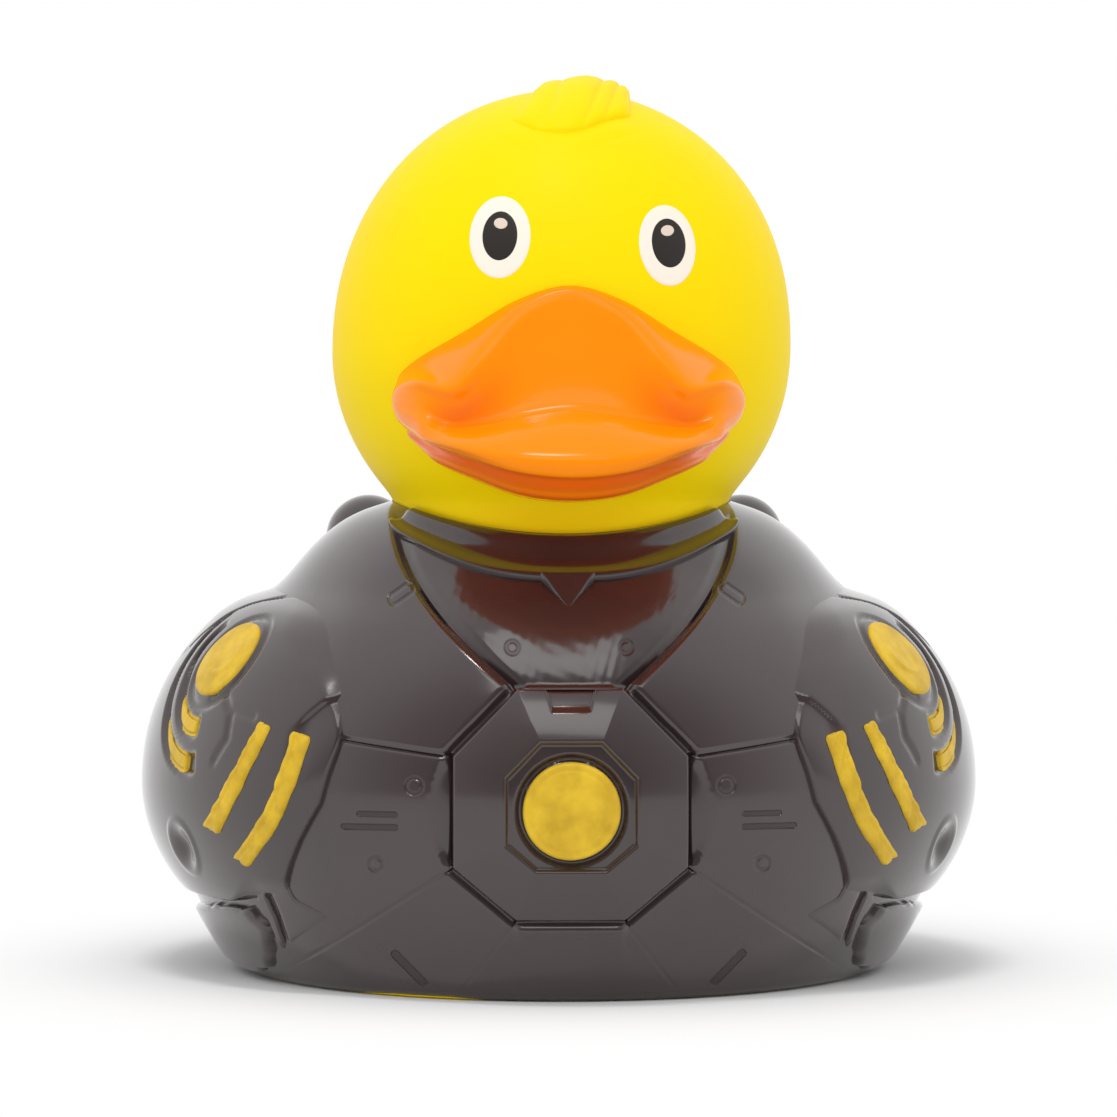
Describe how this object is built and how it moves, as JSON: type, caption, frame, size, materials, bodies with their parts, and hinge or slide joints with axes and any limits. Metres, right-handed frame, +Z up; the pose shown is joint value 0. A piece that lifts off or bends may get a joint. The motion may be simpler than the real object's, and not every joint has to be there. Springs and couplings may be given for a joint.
{
  "type": "rubber duck",
  "caption": "Hollow vinyl bath duck with a round head, a broad bill and a glossy panelled suit, standing on a flat base with a press-in squeaker.",
  "frame": {"origin": "on the floor, under the middle of the duck's box", "axes": "+Z up, the face and bill towards -Y, the tail towards +Y, +X to the duck's left"},
  "size_m": [0.0804, 0.086, 0.0849],
  "materials": {
    "suit_paint": "gloss",
    "yellow_vinyl": "satin",
    "orange_paint": "gloss",
    "gold_paint": "satin",
    "eye_white_print": "satin",
    "eye_black_print": "satin",
    "squeaker_plastic": "satin"
  },
  "bodies": {
    "root": {"duck_body": "suit_paint", "squeaker": "squeaker_plastic"}
  },
  "joints": []
}
